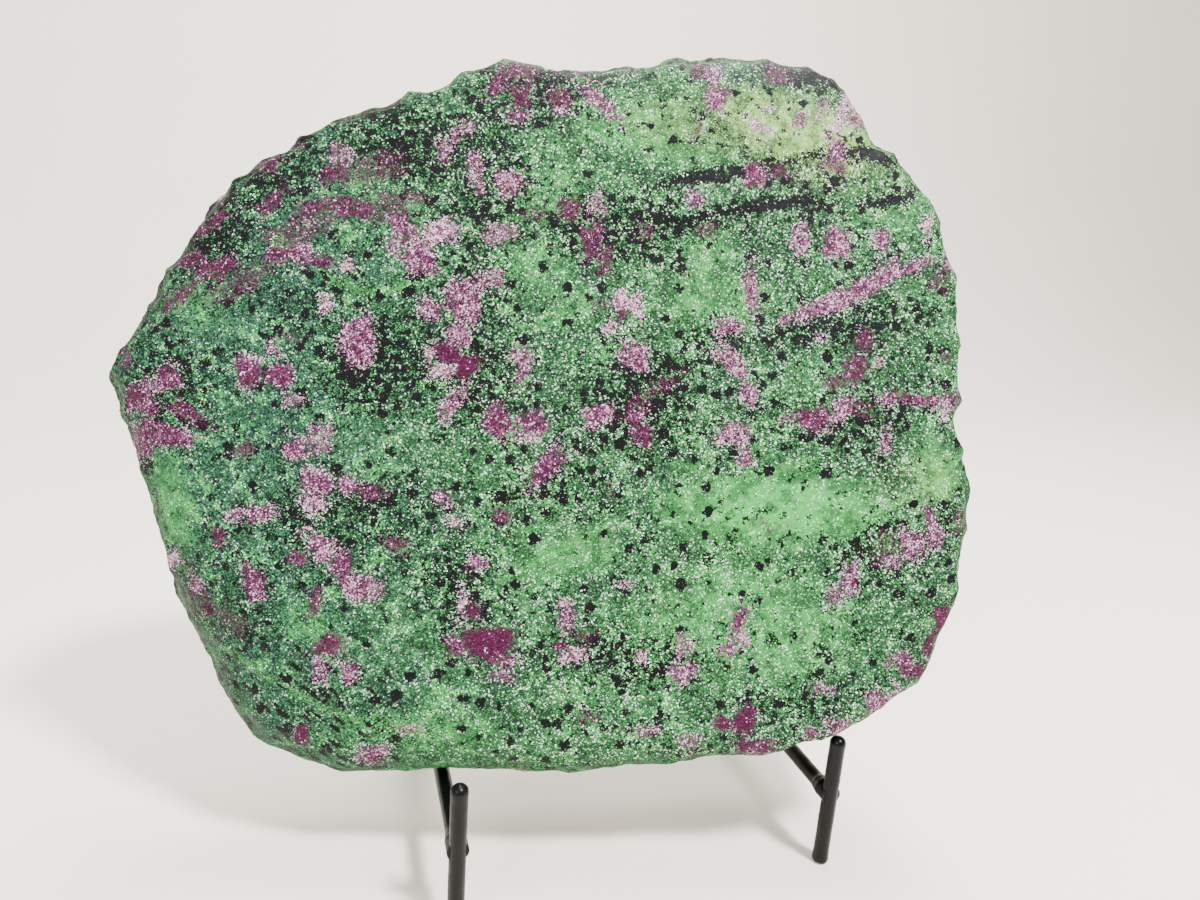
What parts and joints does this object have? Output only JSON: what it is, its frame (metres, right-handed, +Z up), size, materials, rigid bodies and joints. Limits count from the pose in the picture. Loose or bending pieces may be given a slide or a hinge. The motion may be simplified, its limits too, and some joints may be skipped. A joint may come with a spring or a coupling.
{
  "type": "ruby in zoisite specimen on stand",
  "caption": "Large rough slab of green zoisite with pink ruby and black hornblende, leaning on a small black stand of welded round rod.",
  "frame": {"origin": "centre of the object's footprint box, on the surface that it stands on", "axes": "+X to the viewer's right along the stand's two front posts, +Y to the back, +Z up"},
  "size_m": [0.3372, 0.1392, 0.3213],
  "materials": {
    "ruby_in_zoisite": "rough broken rock, sugary green zoisite with pink ruby and black hornblende",
    "black_coated_steel": "satin black coating"
  },
  "bodies": {
    "root": {"stone": "ruby_in_zoisite", "front_post_left": "black_coated_steel", "front_post_right": "black_coated_steel", "arm_left": "black_coated_steel", "arm_right": "black_coated_steel", "rear_post_left": "black_coated_steel", "rear_post_right": "black_coated_steel", "crossbar_lower": "black_coated_steel", "crossbar_upper": "black_coated_steel"}
  },
  "joints": []
}
